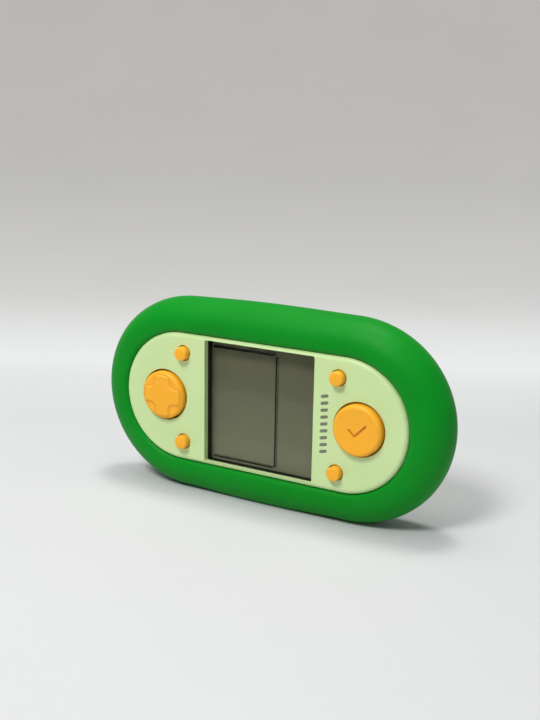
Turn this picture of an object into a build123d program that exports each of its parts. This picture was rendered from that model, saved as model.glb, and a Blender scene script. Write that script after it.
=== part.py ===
from build123d import *
import os
from math import atan2, cos, pi, radians, sin, tan

# A handheld game console that stands on its long lower edge. Every piece is modelled lying on its back:
# X runs along the body, Y is up the body, and the faceplate's front is at z = 0 with the viewer at +Z.
# A depth is a distance behind that front. stand_up then turns each piece to face -Y on the floor.

# Body outline, seen from the front: a stadium round a straight spine
spine_half = 37.0
plate_radius = 27.0

# Shell walls
face_wall = 2.65
rear_wall = 2.2
side_wall = 1.8
flange_wall = 1.6
flange_depth = 3.4
plate_rim_radius = 2.0
tongue_height = 1.6
tongue_wall = 0.8

# Soft ring
ring_cover = 8.85
ring_lip_radius = 2.4
base_flat_depth = 0.5

# Display window
window_width = 49.7
window_strip = 1.35
window_corner_radius = 0.8
hole_edge_radius = 0.15

# Display stack
lens_thickness = 0.8
glass_thickness = 0.75
reflector_thickness = 0.2
bezel_neck_wall = 0.6
bezel_plate = 0.6
bezel_skirt_wall = 1.0
skirt_gap = 0.45
glass_overlap = 1.2
ledge_length = 2.2
zebra_width = 1.6
board_gap = 0.2
board_thickness = 1.2

# Four-way disc and round button
pad_radius = 10.05
pad_margin = 9.35
pad_proud = 2.8
pad_gap = 0.75
pad_edge_radius = 1.5
pad_dish_depth = 0.5
pad_flange_overlap = 0.5
pad_flange_thickness = 1.0
pad_wall = 1.6
cross_width = 6.4
cross_margin = 1.4
cross_height = 0.45
cross_dish_depth = 0.3
cross_inner_radius = 2.6
cross_corner_radius = 1.0
cross_slope_run = 0.8
cross_edge_radius = 0.7
ball_radius = 2.2
ball_depth = 3.6
socket_wall = 1.2
post_wall = 0.4
post_gap = 0.8
tilt_room = 1.3
foot_radius = 1.6
post_peg_radius = 1.1
post_room = 0.8
tick_width = 0.9
tick_depth = 0.5
tick_short_arm = 3.2
tick_long_arm = 6.4
tick_shift_share = 0.25
tick_drop_share = 0.34

# Small buttons
small_radius = 2.85
small_margin = 10.25
small_edge_margin = 8.15
small_proud = 3.0
small_gap = 0.4
small_crown = 0.25
small_edge_radius = 0.7
small_flange_overlap = 0.6
small_flange_thickness = 0.8
small_foot_radius = 1.8

# Keypads
sheet_thickness = 1.0
press_travel = 1.0
dome_radius = 2.6
dome_top_radius = 1.9
dome_hollow_radius = 1.7
dome_hollow_height = 1.4
pill_radius = 1.2
pill_thickness = 0.35
sheet_margin = 2.0
sheet_corner_radius = 4.4
sheet_arm_width = 7.0

# Screws and their bosses
case_screw_inset = 4.7
case_screw_angle = 54.0
case_screw_radius = 1.3
case_head_radius = 2.4
case_head_height = 1.6
case_screw_length = 10.0
case_boss_radius = 2.8
case_post_radius = 4.0
case_point_room = 3.35
board_screw_radius = 0.9
board_head_radius = 1.7
board_head_height = 1.0
board_screw_length = 4.4
board_boss_radius = 1.9
drive_width = 0.5
drive_depth = 0.7
drive_reach_share = 0.7
head_round_share = 0.4
point_share = 0.4
head_room = 0.5

# Battery bay: two AAA cells side by side
cell_radius = 5.25
cell_length = 43.7
cell_edge_radius = 0.6
nub_radius = 1.9
nub_height = 0.8
cell_gap = 0.3
bay_side_gap = 0.6
bay_wall = 1.0
bay_floor = 0.8
bay_board_gap = 0.2
cell_door_gap = 0.3
spring_length = 4.3
spring_wire = 0.5
spring_radius = 3.4
spring_turns = 4
contact_thickness = 0.4
contact_height = 8.0
contact_width = 8.6
bridge_height = 4.0
dimple_height = 0.4
tab_width = 2.0
tab_reach = 1.6

# Battery door
door_hook_margin = 3.4
door_screw_margin = 4.3
door_thickness = 1.4
door_corner_radius = 2.0
door_ledge = 2.0
door_gap = 0.25
grip_count = 3
grip_width = 0.8
grip_pitch = 2.4
grip_length = 12.0
grip_depth = 0.4
grip_margin = 7.0
hook_width = 6.0
hook_offset = 7.5
hook_reach = 2.0
hook_thickness = 1.0
hook_drop = 0.9
hook_root = 2.0
door_screw_inset = 3.3
door_screw_radius = 1.25
door_screw_length = 4.7
door_head_radius = 2.3
door_head_height = 1.1
door_boss_radius = 3.4
door_boss_drop = 1.2
door_post_radius = 4.4
door_post_length = 5.0
door_bore_clearance = 0.4

# Sounder and its holes
sounder_gap = 1.35
sounder_radius = 10.0
sounder_thickness = 0.3
ceramic_radius = 7.0
ceramic_thickness = 0.25
sounder_seat_wall = 1.0
sounder_seat_height = 1.2
sound_hole_radius = 0.9
sound_hole_circle = 3.6
sound_hole_count = 6

# Parts on the board
board_edge_gap = 0.8
blob_radius = 6.0
blob_height = 1.4
crystal_length = 8.0
crystal_width = 3.0
crystal_height = 2.8
capacitor_radius = 2.5
capacitor_height = 7.0
can_round_share = 0.17
chip_length = 2.0
chip_width = 1.25
chip_height = 0.6
chip_column_pitch = 2.8
chip_row_pitch = 3.2
chip_columns = 3
chip_rows = 2
chip_gap = 0.6

# Wires inside
battery_lead_diameter = 1.1
sounder_lead_diameter = 0.8
sounder_lead_shift = 2.5
sounder_lead_rise = 3.0
lead_bend_share = 0.45
lead_end_share = 0.33

# Clearances and the overrun of cuts
fit_clearance = 0.1
running_clearance = 0.05
grip_clearance = 0.05
slide_clearance = 0.15
screw_bite = 0.05
overrun = 1.0

# Depths, worked out as a stack from the faceplate back to the battery door
cavity_depth = flange_depth + flange_wall
display_depth = cavity_depth + bezel_plate
glass_rear_depth = display_depth + 2 * glass_thickness
board_depth = glass_rear_depth + reflector_thickness + board_gap
board_rear_depth = board_depth + board_thickness
bay_floor_depth = board_rear_depth + bay_board_gap
cell_depth = bay_floor_depth + bay_floor + fit_clearance + cell_radius
body_depth = cell_depth + cell_radius + cell_door_gap + door_thickness
parting_depth = body_depth / 2
case_head_depth = face_wall + case_point_room + case_screw_length
door_inner_depth = body_depth - door_thickness
sounder_depth = body_depth - rear_wall - sounder_seat_height
dome_top_depth = board_depth - sheet_thickness - press_travel
foot_depth = dome_top_depth - running_clearance

# Radii and heights, worked out from the window and display outwards to the soft ring
window_height = 2 * (plate_radius - window_strip)
neck_width = window_width + 2 * bezel_neck_wall
neck_height = window_height + 2 * bezel_neck_wall
glass_width = window_width + 2 * glass_overlap
glass_height = window_height + 2 * glass_overlap
skirt_width = glass_width + 2 * (fit_clearance + bezel_skirt_wall)
skirt_top = glass_height / 2 + fit_clearance + bezel_skirt_wall
skirt_foot = skirt_top + ledge_length
body_radius = skirt_foot + skirt_gap + side_wall
inner_plate_radius = plate_radius - side_wall
inner_body_radius = body_radius - side_wall
ring_section_radius = body_depth / 2
ring_outer_radius = body_radius + ring_cover
ring_path_radius = ring_outer_radius - ring_section_radius
proud_most = max(pad_proud, small_proud)
face_y = proud_most - (body_depth + proud_most) / 2
centre_height = ring_outer_radius - base_flat_depth

# Places of the buttons, screws, cells, door and sounder
pad_x = window_width / 2 + pad_margin + pad_radius
small_x = window_width / 2 + small_margin
small_rise = plate_radius - small_edge_margin
small_places = [(side * small_x, rise * small_rise) for side in (-1, 1) for rise in (1, -1)]
pad_hole_radius = pad_radius + pad_gap
pad_flange_radius = pad_hole_radius + pad_flange_overlap
cross_reach = pad_radius - cross_margin
foot_offset = pad_radius - pad_wall - foot_radius - fit_clearance
sheet_pad_radius = foot_offset + dome_radius + sheet_margin
small_hole_radius = small_radius + small_gap
small_flange_radius = small_hole_radius + small_flange_overlap
case_screw_circle = plate_radius - case_screw_inset
case_screw_x = spine_half + case_screw_circle * cos(radians(case_screw_angle))
case_screw_rise = case_screw_circle * sin(radians(case_screw_angle))
case_screw_places = [(i * case_screw_x, j * case_screw_rise) for i in (-1, 1) for j in (-1, 1)]
bay_length = cell_length + nub_height + spring_length + 2 * contact_thickness + dimple_height
bay_height = 4 * cell_radius + cell_gap + bay_side_gap
cell_rise = cell_radius + cell_gap / 2
board_screw_x = skirt_width / 2 + board_boss_radius + fit_clearance
board_screw_rise = bay_height / 2 + bay_wall + board_head_radius + fit_clearance
board_screw_places = [(i * board_screw_x, j * board_screw_rise) for i in (-1, 1) for j in (-1, 1)]
door_length = door_hook_margin + bay_length + door_screw_margin + door_screw_inset
door_height = bay_height + 2 * door_ledge
door_screw_x = door_length / 2 - door_screw_inset
bay_left = door_hook_margin - door_length / 2
bay_right = bay_left + bay_length
hook_end = door_length / 2 + hook_reach + hook_drop + door_gap
sounder_x = -(hook_end + sounder_gap + sounder_seat_wall + sounder_radius)


def layer(outline, near, far):
    """A flat outline as a solid between two depths."""
    return Pos(0, 0, -far) * extrude(outline, far - near)


def stadium(radius):
    """The body's outline at a distance from its spine."""
    return SlotCenterToCenter(2 * spine_half, 2 * radius)


def block(x_from, x_to, y_from, y_to, near, far):
    """A box given by its sides and two depths."""
    outline = Pos((x_from + x_to) / 2, (y_from + y_to) / 2) * Rectangle(x_to - x_from, y_to - y_from)
    return layer(outline, near, far)


def disc(radius, near, far, x=0, y=0):
    """A round disc between two depths."""
    return layer(Pos(x, y) * Circle(radius), near, far)


def at_each(places, shape):
    """Copies of a shape at each place on the face."""
    return [Pos(x, y) * shape for x, y in places]


def top_edges(shape):
    """The outline of a shape's foremost face."""
    return shape.faces().sort_by(Axis.Z)[-1].edges()


def ring_profile():
    """The soft ring's section: x is the distance from the spine, y is forward from mid depth."""
    section = Pos(ring_path_radius, 0) * Circle(ring_section_radius)
    edge = plate_radius + grip_clearance
    half = ring_section_radius + overrun
    section = section - Pos(edge - half, 0) * Rectangle(2 * half, 2 * half)
    lips = section.vertices().filter_by_position(Axis.X, edge - overrun, edge + grip_clearance)
    section = fillet(lips, ring_lip_radius)
    groove_radius = body_radius + grip_clearance
    groove_height = body_depth - 2 * (flange_depth - grip_clearance)
    return section - Pos(groove_radius - half, 0) * Rectangle(2 * half, groove_height)


def silicone_ring():
    """The thick ring: two half turns and two straights round the body, with a flat to stand on."""
    start = Plane(origin=(spine_half, 0, -parting_depth), x_dir=(0, -1, 0), z_dir=(-1, 0, 0))
    section = start * ring_profile()
    turn = revolve(section, Axis((spine_half, 0, 0), (0, 0, 1)), 180)
    straight = extrude(section, 2 * spine_half, dir=(-1, 0, 0))
    half = turn + straight
    ring = half + Rot(0, 0, 180) * half
    reach = spine_half + ring_outer_radius + overrun
    below = -ring_outer_radius - overrun
    return ring - block(-reach, reach, below, below + overrun + base_flat_depth, -body_depth, 2 * body_depth)


def shell_block():
    """Half of the body as a solid block: a plate with a rounded rim on a wider flange."""
    plate = layer(stadium(plate_radius), 0, flange_depth)
    plate = fillet(top_edges(plate), plate_rim_radius)
    return plate + layer(stadium(body_radius), flange_depth, parting_depth)


def shell_hollow(wall):
    """The room inside half of the body, open at the parting line."""
    shallow = layer(stadium(inner_plate_radius), wall, cavity_depth)
    return shallow + layer(stadium(inner_body_radius), cavity_depth, parting_depth + overrun)


def window_outline():
    """The display window's outline."""
    return RectangleRounded(window_width, window_height, window_corner_radius)


def front_openings():
    """The window and the button holes as cuts through the faceplate."""
    near, far = -overrun, face_wall + overrun
    window = layer(window_outline(), near, far)
    pads = at_each([(-pad_x, 0), (pad_x, 0)], disc(pad_hole_radius, near, far))
    smalls = at_each(small_places, disc(small_hole_radius, near, far))
    return [window] + pads + smalls


def front_shell():
    """The pale front half, with bosses for the case screws and the board."""
    shell = shell_block() - shell_hollow(face_wall)
    neck_room = Rectangle(neck_width + 2 * fit_clearance, neck_height + 2 * fit_clearance)
    shell = shell - layer(neck_room, face_wall, cavity_depth)
    shell = shell + at_each(case_screw_places, disc(case_boss_radius, face_wall, parting_depth))
    shell = shell + at_each(board_screw_places, disc(board_boss_radius, face_wall, board_depth))
    shell = shell - front_openings()
    pilot_end = case_head_depth - case_screw_length - fit_clearance
    pilot = disc(case_screw_radius - screw_bite, pilot_end, parting_depth + overrun)
    shell = shell - at_each(case_screw_places, pilot)
    board_pilot_end = board_rear_depth - board_screw_length - fit_clearance
    board_pilot = disc(board_screw_radius - screw_bite, board_pilot_end, board_depth + overrun)
    shell = shell - at_each(board_screw_places, board_pilot)
    fronts = shell.faces().filter_by(Plane.XY).filter_by_position(Axis.Z, -running_clearance, running_clearance)
    hole_edges = [edge for face in fronts for wire in face.inner_wires() for edge in wire.edges()]
    return fillet(hole_edges, hole_edge_radius)


def rear_block():
    """The rear half's outer form, with its room inside and the tongue that enters the front half."""
    turn_over = Pos(0, 0, -body_depth) * Rot(180, 0, 0)
    shell = turn_over * shell_block()
    room_depth = body_depth - cavity_depth
    shell = shell - layer(stadium(inner_body_radius), parting_depth - overrun, room_depth)
    shell = shell - layer(stadium(inner_plate_radius), room_depth, body_depth - rear_wall)
    outer = inner_body_radius - fit_clearance
    tongue = layer(stadium(outer), parting_depth - tongue_height, parting_depth + tongue_height)
    tongue = tongue - layer(stadium(outer - tongue_wall), 0, body_depth)
    bridge = layer(stadium(body_radius - grip_clearance), parting_depth, parting_depth + tongue_height)
    bridge = bridge - layer(stadium(outer - tongue_wall), 0, body_depth)
    return shell + tongue + bridge


def door_outline(gap):
    """The battery door's outline, grown by a gap."""
    return RectangleRounded(door_length + 2 * gap, door_height + 2 * gap, door_corner_radius + gap)


def hook_places():
    """Heights of the door's two hooks."""
    return [-hook_offset, hook_offset]


def bay_cuts():
    """The battery bay's room, the door's recess and the slots for the door's hooks."""
    room = block(bay_left, bay_right, -bay_height / 2, bay_height / 2, bay_floor_depth + bay_floor,
                 body_depth + overrun)
    recess = layer(door_outline(door_gap), door_inner_depth - door_gap, body_depth + overrun)
    edge = -door_length / 2
    cuts = [room, recess]
    for y in hook_places():
        half = hook_width / 2 + door_gap
        under_lip = block(-hook_end, edge, y - half, y + half,
                          body_depth - rear_wall - overrun, body_depth - hook_drop + fit_clearance)
        through = block(edge - door_gap, bay_left - bay_wall, y - half, y + half,
                        body_depth - rear_wall - overrun, body_depth)
        cuts = cuts + [under_lip, through]
    return cuts


def rear_shell():
    """The pale rear half: battery bay, door ledge, screw posts, sounder seat and sound holes."""
    shell = rear_block()
    inside = body_depth - rear_wall
    tub = block(bay_left - bay_wall, bay_right + bay_wall, -bay_height / 2 - bay_wall,
                bay_height / 2 + bay_wall, bay_floor_depth, inside + fit_clearance)
    shell = shell + tub
    shell = shell + at_each(case_screw_places, disc(case_post_radius, parting_depth, inside + fit_clearance))
    seat = disc(sounder_radius + sounder_seat_wall, sounder_depth, inside + fit_clearance, sounder_x)
    seat = seat - disc(sounder_radius - sounder_seat_wall, sounder_depth - overrun, inside, sounder_x)
    seat = seat - disc(sounder_radius + fit_clearance, sounder_depth - overrun,
                       sounder_depth + sounder_thickness, sounder_x)
    post = disc(door_post_radius, inside - door_post_length, inside + fit_clearance, door_screw_x)
    shell = shell + seat + post
    shell = shell - bay_cuts()
    pocket_floor = door_inner_depth - door_boss_drop - door_gap
    pocket = disc(door_boss_radius + door_gap, pocket_floor, body_depth, door_screw_x)
    bore = disc(door_screw_radius + door_bore_clearance, inside - door_post_length - overrun, body_depth,
                door_screw_x)
    shell = shell - pocket - bore
    counterbore = disc(case_head_radius + head_room, case_head_depth, body_depth + overrun)
    shank_room = disc(case_screw_radius + fit_clearance, parting_depth - overrun, body_depth)
    shell = shell - at_each(case_screw_places, counterbore) - at_each(case_screw_places, shank_room)
    hole = disc(sound_hole_radius, inside - overrun, body_depth + overrun, sounder_x)
    circle = [(sound_hole_circle * cos(2 * pi * k / sound_hole_count),
               sound_hole_circle * sin(2 * pi * k / sound_hole_count)) for k in range(sound_hole_count)]
    return shell - at_each([(0, 0)] + circle, hole)


def drive_recess(head_radius, top_depth):
    """The cross in a screw's head, seen from the rear."""
    reach = drive_reach_share * head_radius
    bar = block(-reach, reach, -drive_width / 2, drive_width / 2, top_depth - drive_depth, top_depth + overrun)
    return bar + Rot(0, 0, 90) * bar


def screw(radius, length, head_radius, head_height, seat_depth):
    """A pan-head screw driven in from the rear, with its head's underside at a depth."""
    top = seat_depth + head_height
    head = disc(head_radius, seat_depth, top)
    head = fillet(head.faces().sort_by(Axis.Z)[0].edges(), head_round_share * head_height)
    shank = disc(radius, seat_depth - length, seat_depth)
    shank = chamfer(top_edges(shank), point_share * radius)
    return head + shank - drive_recess(head_radius, top)


def case_screws():
    """The four screws that join the shells."""
    one = screw(case_screw_radius, case_screw_length, case_head_radius, case_head_height, case_head_depth)
    return Compound(children=at_each(case_screw_places, one))


def board_screws():
    """The four screws that hold the board to the front shell."""
    one = screw(board_screw_radius, board_screw_length, board_head_radius, board_head_height, board_rear_depth)
    return Compound(children=at_each(board_screw_places, one))


def battery_door():
    """The door: a plate with two hooks, finger grips and a boss for its screw."""
    plate = layer(door_outline(0), door_inner_depth, body_depth)
    edge = -door_length / 2
    for y in hook_places():
        plate = plate + block(edge - hook_reach, edge + hook_root, y - hook_width / 2, y + hook_width / 2,
                              body_depth - hook_drop - hook_thickness, body_depth - hook_drop)
    boss = disc(door_boss_radius, door_inner_depth - door_boss_drop, body_depth, door_screw_x)
    plate = plate + boss
    head_depth = body_depth - door_head_height - fit_clearance
    plate = plate - disc(door_head_radius + fit_clearance, head_depth, body_depth + overrun, door_screw_x)
    plate = plate - disc(door_screw_radius + running_clearance, 0, body_depth, door_screw_x)
    first = door_screw_x - grip_margin - grip_count * grip_pitch
    for k in range(grip_count):
        x = first + k * grip_pitch
        plate = plate - block(x, x + grip_width, -grip_length / 2, grip_length / 2,
                              body_depth - grip_depth, body_depth + overrun)
    return plate


def door_screw():
    """The screw that stays in the door."""
    seat = body_depth - door_head_height - fit_clearance
    one = screw(door_screw_radius, door_screw_length, door_head_radius, door_head_height, seat)
    return Pos(door_screw_x, 0) * one


def window_lens():
    """The clear sheet laid on the display's glass."""
    outline = RectangleRounded(window_width - 2 * slide_clearance, window_height - 2 * slide_clearance,
                               window_corner_radius)
    return layer(outline, display_depth - lens_thickness, display_depth)


def glass_outline(overlap, foot):
    """A display sheet's outline: past the window by an overlap, and lower at its foot."""
    half_width = window_width / 2 + overlap
    half_height = window_height / 2 + overlap
    return Pos(0, -foot / 2) * Rectangle(2 * half_width, 2 * half_height + foot)


def lcd_glass():
    """Two sheets of glass. The front one is longer at the foot, as the ledge for the connector."""
    front = layer(glass_outline(glass_overlap, ledge_length), display_depth, display_depth + glass_thickness)
    return front + layer(glass_outline(glass_overlap, 0), display_depth + glass_thickness, glass_rear_depth)


def lcd_reflector():
    """The grey sheet behind the glass."""
    return layer(glass_outline(glass_overlap / 2, 0), glass_rear_depth, glass_rear_depth + reflector_thickness)


def lcd_bezel():
    """The black frame: a neck that lines the window, a plate and a skirt round the glass."""
    outline = Pos(0, -ledge_length / 2) * Rectangle(skirt_width, skirt_top + skirt_foot)
    plate_depth = display_depth - bezel_plate
    frame = layer(outline, plate_depth, board_depth)
    room = glass_outline(glass_overlap + fit_clearance, ledge_length)
    frame = frame - layer(room, display_depth - running_clearance, board_depth + overrun)
    neck = RectangleRounded(neck_width, neck_height, window_corner_radius + bezel_neck_wall)
    frame = frame + layer(neck, face_wall + running_clearance, plate_depth)
    return frame - layer(window_outline(), 0, display_depth)


def zebra_strip():
    """The rubber connector between the glass ledge and the board."""
    foot = window_height / 2 + glass_overlap + ledge_length
    y_to = -foot + (ledge_length + zebra_width) / 2
    half = glass_width / 2 - ledge_length
    return block(-half, half, y_to - zebra_width, y_to, display_depth + glass_thickness, board_depth)


def main_board():
    """The circuit board, with holes for the case bosses, its own screws and the four-way disc's post."""
    board = layer(stadium(inner_body_radius - board_edge_gap), board_depth, board_rear_depth)
    boss_hole = disc(case_boss_radius + slide_clearance, 0, body_depth)
    screw_hole = disc(board_screw_radius + fit_clearance, 0, body_depth)
    board = board - at_each(case_screw_places, boss_hole) - at_each(board_screw_places, screw_hole)
    return board - disc(post_peg_radius + fit_clearance, 0, body_depth, -pad_x)


def controller_blob():
    """The resin drop over the controller: a low cap of a sphere."""
    sphere_radius = (blob_radius ** 2 + blob_height ** 2) / (2 * blob_height)
    dome = Pos(pad_x, 0, -board_rear_depth - blob_height + sphere_radius) * Sphere(sphere_radius)
    room = disc(blob_radius, board_rear_depth, board_rear_depth + blob_height, pad_x)
    return dome & room


def crystal_can():
    """The flat can of the crystal."""
    outline = SlotOverall(crystal_length, crystal_width)
    rise = blob_radius + chip_gap + crystal_width / 2
    can = layer(Pos(pad_x, rise) * outline, board_rear_depth, board_rear_depth + crystal_height)
    return fillet(can.faces().sort_by(Axis.Z)[0].edges(), can_round_share * crystal_height)


def capacitor():
    """The round smoothing capacitor."""
    x = pad_x + blob_radius + chip_gap + capacitor_radius
    can = disc(capacitor_radius, board_rear_depth, board_rear_depth + capacitor_height, x)
    return fillet(can.faces().sort_by(Axis.Z)[0].edges(), can_round_share * capacitor_radius)


def chip_resistors():
    """The small chips beside the controller."""
    one = block(-chip_length / 2, chip_length / 2, -chip_width / 2, chip_width / 2, board_rear_depth,
                board_rear_depth + chip_height)
    right = pad_x - blob_radius - chip_gap - chip_length / 2
    lowest = -(chip_rows - 1) * chip_row_pitch / 2
    places = [(right - i * chip_column_pitch, lowest + j * chip_row_pitch)
              for i in range(chip_columns) for j in range(chip_rows)]
    return Compound(children=at_each(places, one))


def cross_outline(spread):
    """The raised cross of the four-way disc, with soft inner corners, made wider all round by a spread."""
    reach = cross_reach + spread
    bar = Rectangle(cross_width + 2 * spread, 2 * reach)
    cross = bar + Rot(0, 0, 90) * bar
    by_distance = cross.vertices().sort_by(lambda v: v.X ** 2 + v.Y ** 2)
    cross = fillet(by_distance[:4], cross_inner_radius - spread)
    cross = cross & Circle(reach)
    tips = cross.vertices().sort_by(lambda v: v.X ** 2 + v.Y ** 2)[-8:]
    return fillet(tips, cross_corner_radius + spread)


def foot_places():
    """The four feet under the four-way disc, at its arms."""
    return [(foot_offset, 0), (-foot_offset, 0), (0, foot_offset), (0, -foot_offset)]


def dished_disc(dish_depth, near, far):
    """A large button's solid form: a hollow of a sphere runs smoothly into its rounded rim."""
    rim_x, rim_z = pad_radius - pad_edge_radius, -near - pad_edge_radius
    sphere_radius = (rim_x ** 2 + dish_depth ** 2) / (2 * dish_depth) - pad_edge_radius
    sphere_z = sphere_radius - near - dish_depth
    lean = atan2(rim_x, sphere_z - rim_z)
    inner = (sphere_radius * sin(lean), sphere_z - sphere_radius * cos(lean))
    halfway = (sphere_radius * sin(lean / 2), sphere_z - sphere_radius * cos(lean / 2))
    shoulder = (pi / 2 - lean) / 2
    crest = (rim_x + pad_edge_radius * sin(shoulder), rim_z + pad_edge_radius * cos(shoulder))
    outline = ThreePointArc((0, -near - dish_depth), halfway, inner)
    outline = outline + ThreePointArc(inner, crest, (pad_radius, rim_z))
    outline = outline + Polyline((pad_radius, rim_z), (pad_radius, -far), (0, -far), (0, -near - dish_depth))
    return revolve(Plane.XZ * make_face(outline), Axis.Z)


def dpad_cap():
    """The four-way disc: raised cross, rounded rim, a hidden flange, a ball socket and four feet."""
    low_top = cross_height - pad_proud
    flange_top = face_wall + tilt_room
    flange_foot = flange_top + pad_flange_thickness
    cap = dished_disc(cross_dish_depth, low_top, flange_foot)
    slope_foot = low_top + cross_dish_depth / 2
    foot, top = cross_outline(cross_slope_run / 2), cross_outline(-cross_slope_run / 2)
    cap = cap + layer(foot, slope_foot, low_top + 2 * cross_dish_depth)
    cap = cap + loft([Pos(0, 0, -slope_foot) * foot, Pos(0, 0, pad_proud) * top], ruled=True)
    cap = cap + disc(pad_flange_radius, flange_top, flange_foot)
    roof = low_top + pad_wall
    cap = cap - disc(pad_radius - pad_wall, roof, flange_foot + overrun)
    cap = cap + disc(ball_radius + socket_wall, roof - running_clearance, ball_depth)
    cap = cap - Pos(0, 0, -ball_depth) * Sphere(ball_radius + running_clearance)
    cap = cap + at_each(foot_places(), disc(foot_radius, roof - running_clearance, foot_depth))
    rim = cap.faces().sort_by(Axis.Z)[-1].edges()
    cap = fillet(rim, cross_edge_radius)
    return Pos(-pad_x, 0) * cap


def dpad_ball():
    """The ball that the four-way disc rocks on."""
    return Pos(-pad_x, 0, -ball_depth) * Sphere(ball_radius)


def dpad_post():
    """The post on the board that carries the ball in a cup."""
    post = disc(ball_radius + post_wall, ball_depth + post_gap, board_depth, -pad_x)
    post = post + disc(post_peg_radius, board_depth, board_rear_depth, -pad_x)
    return post - Pos(-pad_x, 0, -ball_depth) * Sphere(ball_radius + running_clearance)


def tick_mark():
    """A plain tick as two round-ended strokes that meet at a right angle."""
    short = Pos(0, tick_short_arm / 2) * SlotCenterToCenter(tick_short_arm, tick_width, 90)
    long = Pos(tick_long_arm / 2, 0) * SlotCenterToCenter(tick_long_arm, tick_width)
    tick = Rot(0, 0, 45) * (short + long)
    shift = tick_shift_share * (tick_long_arm - tick_short_arm)
    return Pos(-shift, -tick_drop_share * tick_long_arm) * tick


def action_button():
    """The round button: slightly dished, with a plain tick cut in, a flange and a plunger."""
    flange_top = face_wall + fit_clearance
    flange_foot = flange_top + pad_flange_thickness
    cap = dished_disc(pad_dish_depth, -pad_proud, flange_foot)
    cap = cap + disc(pad_flange_radius, flange_top, flange_foot)
    roof = pad_wall - pad_proud
    cap = cap - disc(pad_radius - pad_wall, roof, flange_foot + overrun)
    cap = cap + disc(foot_radius, roof - running_clearance, foot_depth)
    cap = cap - layer(tick_mark(), -pad_proud - overrun, pad_dish_depth + tick_depth - pad_proud)
    return Pos(pad_x, 0) * cap


def small_button():
    """A small button: a crowned stem with a flange and a plunger."""
    flange_top = face_wall + fit_clearance
    flange_foot = flange_top + small_flange_thickness
    stem = disc(small_radius, -small_proud, flange_foot)
    crown_sphere = (small_radius ** 2 + small_crown ** 2) / (2 * small_crown)
    stem = stem & (Pos(0, 0, small_proud - crown_sphere) * Sphere(crown_sphere))
    rim = stem.edges().filter_by(lambda edge: edge.is_closed).sort_by(Axis.Z)[-1]
    stem = fillet(rim, small_edge_radius)
    stem = stem + disc(small_flange_radius, flange_top, flange_foot)
    return stem + disc(small_foot_radius, flange_foot, foot_depth)


def dome():
    """One hollow dome of a keypad, standing on the board."""
    sheet_top = board_depth - sheet_thickness
    cone = Cone(dome_radius, dome_top_radius, press_travel, align=(Align.CENTER, Align.CENTER, Align.MIN))
    return Pos(0, 0, -sheet_top) * cone


def dome_room():
    """The room under a dome."""
    return disc(dome_hollow_radius, board_depth - dome_hollow_height, board_depth + overrun)


def keypad(side, dome_places):
    """A rubber sheet with domes: a round pad and two arms out to the small buttons."""
    centre_x = side * pad_x
    outline = Pos(centre_x, 0) * Circle(sheet_pad_radius)
    for rise in (1, -1):
        dx, dy = side * small_x - centre_x, rise * small_rise
        start, end = Vector(centre_x, 0), Vector(centre_x + dx, dy)
        angle = (end - start).get_signed_angle(Vector(1, 0), Vector(0, 0, -1))
        arm = Rot(0, 0, angle) * SlotCenterToCenter((end - start).length, sheet_arm_width)
        outline = outline + Pos((start.X + end.X) / 2, (start.Y + end.Y) / 2) * arm
        outline = outline + Pos(end.X, end.Y) * Circle(sheet_corner_radius)
    sheet = layer(outline, board_depth - sheet_thickness, board_depth)
    sheet = sheet + at_each(dome_places, dome())
    return sheet - at_each(dome_places, dome_room())


def dpad_dome_places():
    """Domes under the four-way disc's feet."""
    return [(x - pad_x, y) for x, y in foot_places()]


def left_dome_places():
    """Domes under the four-way disc's feet and the two small buttons on the left."""
    return dpad_dome_places() + [p for p in small_places if p[0] < 0]


def right_dome_places():
    """Domes under the round button and the two small buttons on the right."""
    return [(pad_x, 0)] + [p for p in small_places if p[0] > 0]


def left_keypad():
    """The left sheet, with a hole for the post."""
    return keypad(-1, left_dome_places()) - disc(ball_radius + post_room, 0, body_depth, -pad_x)


def right_keypad():
    """The right sheet."""
    return keypad(1, right_dome_places())


def contact_pill():
    """A contact pill, which hangs under a dome's roof and goes down with the button above it."""
    top = board_depth - dome_hollow_height
    return disc(pill_radius, top, top + pill_thickness)


def dpad_pills():
    """The four pills under the four-way disc."""
    return Compound(children=at_each(dpad_dome_places(), contact_pill()))


def sounder_disc():
    """The brass disc of the sounder, on its seat."""
    return disc(sounder_radius, sounder_depth, sounder_depth + sounder_thickness, sounder_x)


def sounder_ceramic():
    """The ceramic layer on the brass disc."""
    return disc(ceramic_radius, sounder_depth - ceramic_thickness, sounder_depth, sounder_x)


def cell(nub_side, rise):
    """An AAA cell along X with its nub at one end."""
    body = Rot(0, 90, 0) * Cylinder(cell_radius, cell_length)
    body = fillet(body.edges().filter_by(GeomType.CIRCLE), cell_edge_radius)
    nub = Pos((cell_length + nub_height) / 2, 0) * (Rot(0, 90, 0) * Cylinder(nub_radius, nub_height))
    whole = Rot(0, 0, 0 if nub_side > 0 else 180) * (body + nub)
    inset = contact_thickness + dimple_height + nub_height + cell_length / 2
    x = bay_right - inset if nub_side > 0 else bay_left + inset
    return Pos(x, rise, -cell_depth) * whole


def contact_plate(side, rise):
    """A flat contact at one end of the bay, for one cell."""
    x = bay_left if side < 0 else bay_right - contact_thickness
    return block(x, x + contact_thickness, rise - contact_width / 2, rise + contact_width / 2,
                 cell_depth - contact_height / 2, cell_depth + contact_height / 2)


def solder_tab(rise):
    """The tab of a left contact, which runs through the bay's end wall to its wire."""
    return block(bay_left - bay_wall - tab_reach, bay_left + contact_thickness, rise - tab_width / 2,
                 rise + tab_width / 2, cell_depth - contact_thickness / 2, cell_depth + contact_thickness / 2)


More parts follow.
